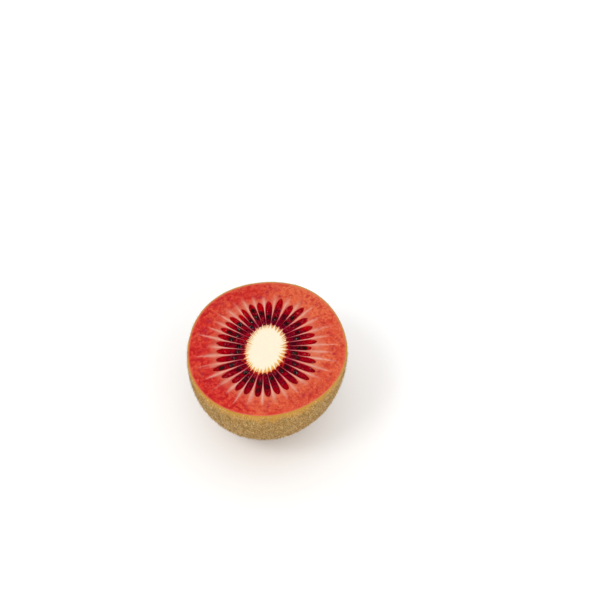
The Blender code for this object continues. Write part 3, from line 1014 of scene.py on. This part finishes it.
def flesh_finish():
    glow = {"Subsurface_Weight": 0.12, "Subsurface_Scale": 0.5 * MM}
    finish = Finish("kiwi flesh", Roughness=0.45, Specular_IOR_Level=0.15, **glow)
    finish.shader.inputs["Subsurface Radius"].default_value = (1.0, 0.35, 0.2)
    outwards, beside = finish.field("outwards"), finish.field("beside_chamber")
    right = finish.place("X")
    patches = finish.span(finish.noise(7 * MM), 0.3, 0.7, -0.35, 0.35)
    lean = finish.maths("ADD", finish.span(right, -22 * MM, 12 * MM), patches)
    front = finish.place("Y")
    ground = finish.mix(lean, colour(202, 40, 26), colour(213, 94, 54))
    shaded = finish.times(finish.span(right, 2 * MM, 16 * MM), finish.span(front, -6 * MM, -18 * MM))
    ground = finish.mix(finish.times(shaded, 0.8), ground, colour(196, 62, 38))
    light = finish.span(finish.noise(0.8 * MM, detail=4, rough=0.8), 0.50, 0.56)
    lighter = finish.mix(lean, colour(218, 82, 64), colour(228, 122, 86))
    ground = finish.mix(finish.times(light, 0.55), ground, lighter)
    redder = finish.span(lean, 0.0, 0.8, 1.0, 0.0)
    cloud = finish.maths("ADD", finish.noise(3 * MM, detail=3), finish.times(redder, 0.06))
    cloud = finish.span(cloud, 0.48, 0.66)
    ground = finish.mix(finish.times(cloud, 0.35), ground, colour(194, 30, 26))
    mottle = finish.span(finish.noise(1.25 * MM, detail=3, rough=0.6), 0.495, 0.535)
    clusters = finish.span(finish.noise(3.5 * MM, detail=1), 0.40, 0.60, 0.65, 1.0)
    mottled = finish.times(finish.times(mottle, clusters), finish.span(redder, 0.0, 1.0, 0.4, 1.0))
    ground = finish.mix(mottled, ground, colour(178, 4, 8))
    flecks = finish.span(finish.noise(1.4 * MM, detail=3, rough=0.6), 0.57, 0.63)
    ground = finish.mix(finish.times(flecks, 0.6), ground, colour(178, 14, 24))
    halo = finish.times(finish.span(outwards, 0.40, 0.50), finish.span(outwards, 0.68, 0.54))
    ground = finish.mix(finish.times(halo, 0.35), ground, colour(212, 108, 80))
    wedge = finish.times(finish.field("wedge"), finish.span(outwards, 0.02, 0.25))
    ground = finish.mix(finish.times(wedge, 0.8), ground, colour(202, 132, 110))
    ground = finish.mix(finish.span(outwards, 0.42, 0.15, 0.0, 0.9), ground, colour(202, 104, 106))
    ground = finish.mix(finish.span(outwards, 0.28, 0.06, 0.0, 0.9), ground, colour(184, 66, 88))
    flush = finish.field("flush")
    ground = finish.mix(flush, ground, colour(156, 22, 56))
    seep = finish.times(finish.span(beside, 0.18, 0.0), finish.span(outwards, 0.05, 0.4, 0.15, 0.6))
    ground = finish.mix(seep, ground, colour(166, 20, 34))
    broken = finish.span(finish.noise(0.8 * MM, detail=3), 0.30, 0.50, 0.45, 1.0)
    unflushed = finish.span(flush, 0.0, 1.0, 1.0, 0.3)
    line = finish.times(finish.times(finish.field("pale_line"), broken), unflushed)
    line = finish.times(line, finish.span(outwards, 0.35, 0.7, 0.9, 0.7))
    ground = finish.mix(line, ground, colour(230, 176, 160))
    spots = finish.times(finish.field("vein"), finish.span(finish.noise(0.8 * MM, detail=3), 0.38, 0.54))
    ground = finish.mix(spots, ground, colour(168, 18, 44))
    # Painted highlight: a pale pink line along the flesh's rim stands in for light caught by the wet, rounded
    # cut edge.
    edge = finish.span(outwards, 0.965, 1.0)
    ground = finish.mix(finish.times(edge, 0.6), ground, colour(222, 118, 92))
    ground = finish.mix(finish.span(beside, 0.06, -0.03), ground, colour(142, 4, 20))
    finish.colour(ground)
    finish.bump(finish.noise(0.30 * MM, detail=3), 0.03 * MM)
    return finish


def pulp_finish():
    finish = Finish("chamber pulp", Roughness=0.14, IOR=2.0)
    place, across = finish.field("place"), finish.field("across")
    wobble = finish.span(finish.noise(1.5 * MM), 0.3, 0.7, -0.12, 0.12)
    blurred = finish.maths("ADD", place, wobble)
    front = finish.place("Y")
    base = finish.mix(finish.span(front, 8 * MM, 3 * MM), colour(130, 4, 38), colour(176, 8, 14))
    base = finish.mix(finish.span(front, 1 * MM, -6 * MM), base, colour(200, 34, 14))
    ground = finish.mix(finish.span(blurred, 0.0, 0.14), base, colour(122, 0, 20))
    ground = finish.mix(finish.span(blurred, 0.2, 0.5), ground, colour(146, 0, 14))
    tips = finish.mix(finish.span(front, 0, -8 * MM), colour(182, 0, 4), colour(152, 0, 10))
    ground = finish.mix(finish.span(blurred, 0.55, 0.95), ground, tips)
    inputs = {0: finish.times(place, 3.0), 1: across, 2: finish.times(finish.field("tone"), 60.0)}
    lengthwise = finish.node("ShaderNodeCombineXYZ", inputs).outputs[0]
    fibres = finish.span(finish.noise(0.6, detail=4, rough=0.6, at=lengthwise), 0.42, 0.62)
    ground = finish.mix(finish.times(fibres, 0.7), ground, colour(92, 0, 18))
    middle = finish.span(finish.maths("ABSOLUTE", across, 0.0), 0.5, 0.1)
    inner = finish.span(place, 0.85, 0.5)
    dark = finish.times(finish.span(finish.noise(0.8 * MM, detail=2), 0.48, 0.58), inner)
    ground = finish.mix(finish.times(dark, 0.75), ground, colour(66, 0, 18))
    # Painted highlight: pale pink patches along the middle of each chamber, where the bulging pulp catches
    # light.
    lighter = finish.times(finish.span(finish.noise(0.55 * MM, detail=3, rough=0.7), 0.54, 0.62), middle)
    ground = finish.mix(finish.times(lighter, 0.35), ground, colour(190, 44, 60))
    # Painted shadow round each seed. It also stands for the seed's sunk edge showing dark through the pulp.
    seed_shadow_and_sunk_edge = finish.span(finish.field("beside_seed"), 1.5, 0.9)
    ground = finish.mix(finish.times(seed_shadow_and_sunk_edge, 0.8), ground, colour(54, 6, 16))
    finish.colour(ground)
    glints = finish.span(finish.noise(0.45 * MM, detail=2), 0.65, 0.72, 0.0, 0.55)
    finish.tree.links.new(glints, finish.shader.inputs["Specular IOR Level"])
    finish.bump(finish.noise(0.35 * MM, detail=3), 0.06 * MM)
    return finish


def core_finish():
    glow = {"Subsurface_Weight": 0.05, "Subsurface_Scale": 0.4 * MM}
    finish = Finish("kiwi core", Roughness=0.5, Specular_IOR_Level=0.15, **glow)
    from_edge = finish.field("from_edge")
    cream = finish.mix(finish.span(from_edge, -2.6, -0.2), colour(242, 229, 204), colour(241, 222, 188))
    fibres = finish.span(finish.noise(0.5 * MM, detail=3), 0.4, 0.7)
    cream = finish.mix(finish.times(fibres, 0.12), cream, colour(240, 214, 168))
    ray = finish.mix(finish.span(from_edge, -0.3, 0.8), cream, colour(204, 120, 110))
    front = finish.place("Y")
    to_front = finish.span(front, 6 * MM, -6 * MM)
    pale_gold = finish.mix(to_front, colour(226, 190, 122), colour(232, 202, 134))
    deep_gold = finish.mix(to_front, colour(202, 140, 72), colour(218, 164, 78))
    gold = finish.mix(finish.span(from_edge, -2.2, -0.9), pale_gold, deep_gold)
    edge = finish.mix(to_front, colour(190, 84, 60), colour(212, 96, 34))
    gold = finish.mix(finish.span(from_edge, -0.75, -0.15), gold, edge)
    strength = finish.times(finish.span(front, 2 * MM, -8 * MM, 0.96, 1.0), finish.field("notch"))
    finish.colour(finish.mix(strength, ray, gold))
    finish.bump(finish.noise(0.4 * MM, detail=3), 0.03 * MM)
    return finish


def seed_finish():
    finish = Finish("kiwi seed", Roughness=0.12, IOR=2.0)
    ground = finish.mix(finish.span(finish.field("tone"), 0.2, 0.8), colour(24, 12, 6), colour(48, 28, 18))
    finish.colour(finish.mix(finish.span(finish.noise(0.3 * MM), 0.4, 0.7), ground, colour(34, 18, 10)))
    glints = finish.span(finish.noise(0.5 * MM, detail=1), 0.62, 0.68, 0.0, 0.9)
    finish.tree.links.new(glints, finish.shader.inputs["Specular IOR Level"])
    finish.bump(finish.cells(0.12 * MM), 0.02 * MM)
    return finish


def scar_finish():
    finish = Finish("stalk scar", Roughness=0.85, Specular_IOR_Level=0.2)
    grain = finish.span(finish.noise(0.8 * MM, detail=4), 0.4, 0.62)
    finish.colour(finish.mix(grain, colour(166, 112, 56), colour(118, 74, 36)))
    finish.bump(finish.noise(0.3 * MM, detail=4), 0.12 * MM)
    return finish


def floor_finish():
    finish = Finish("pale floor", Roughness=0.9, Specular_IOR_Level=0.0)
    finish.colour(finish.mix(finish.noise(0.2), colour(252, 252, 252), colour(254, 254, 254)))
    return finish


# The stage

FRAME_PIXELS = 600
FACE_PIXEL = (266.6, 348.2)
METRES_PER_PIXEL = MEAN_RADIUS / 81.3
VIEW_ELEVATION = math.radians(54.5)
LENS = 150.0
SENSOR = 36.0


def make_camera():
    """Looks down on the cut face along +Y, and puts the face's middle on its place in the picture."""
    data = bpy.data.cameras.new("camera")
    data.lens, data.sensor_width = LENS, SENSOR
    camera = bpy.data.objects.new("camera", data)
    bpy.context.collection.objects.link(camera)
    distance = FRAME_PIXELS * METRES_PER_PIXEL * LENS / SENSOR
    back = Vector((0, -math.cos(VIEW_ELEVATION), math.sin(VIEW_ELEVATION)))
    up = Vector((0, math.sin(VIEW_ELEVATION), math.cos(VIEW_ELEVATION)))
    right, middle = Vector((1, 0, 0)), FRAME_PIXELS / 2
    aim = Vector((*AXIS, CUT_HEIGHT))
    aim += right * (middle - FACE_PIXEL[0]) * METRES_PER_PIXEL
    aim += up * (FACE_PIXEL[1] - middle) * METRES_PER_PIXEL
    camera.location = aim + back * distance
    camera.rotation_euler = (math.pi / 2 - VIEW_ELEVATION, 0, 0)
    data.clip_start, data.clip_end = 0.01, 10.0
    bpy.context.scene.camera = camera


def add_softbox(name, place, size, power):
    """A square soft light that faces the fruit."""
    light = bpy.data.lights.new(name, "AREA")
    light.shape, light.size, light.energy = "SQUARE", size, power
    lamp = bpy.data.objects.new(name, light)
    bpy.context.collection.objects.link(lamp)
    lamp.location = place
    lamp.rotation_euler = (Vector((0, 0, CUT_HEIGHT)) - Vector(place)).to_track_quat("-Z", "Y").to_euler()


def make_stage():
    bpy.ops.mesh.primitive_plane_add(size=6.0)
    floor = start_piece("floor")
    floor_finish().on(floor)
    world = bpy.data.worlds.new("studio")
    world.use_nodes = True
    world.node_tree.nodes["Background"].inputs["Color"].default_value = (1.0, 1.0, 1.0, 1.0)
    world.node_tree.nodes["Background"].inputs["Strength"].default_value = 0.95
    bpy.context.scene.world = world
    add_softbox("key", (-0.5, -0.35, 1.0), 0.35, 2.4)
    add_softbox("fill", (0.5, -0.9, 0.6), 0.6, 1.8)
    bpy.context.scene.view_settings.view_transform = "Standard"


# The fruit put together

def main():
    draw = random.Random(RANDOM_SEED + 3)
    skin = make_skin()
    fuzz = make_fuzz(skin)
    thicken_skin(skin)
    flesh, core, pulp, seeds, scar = make_flesh(), make_core(), make_pulp(draw), make_seeds(draw), make_scar()
    for piece, finish in (
        (skin, skin_finish()),
        (fuzz, fuzz_finish()),
        (flesh, flesh_finish()),
        (core, core_finish()),
        (pulp, pulp_finish()),
        (seeds, seed_finish()),
        (scar, scar_finish()),
    ):
        finish.on(piece)
        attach(piece, "root")
    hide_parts("kiwi_half")
    make_camera()
    make_stage()


main()
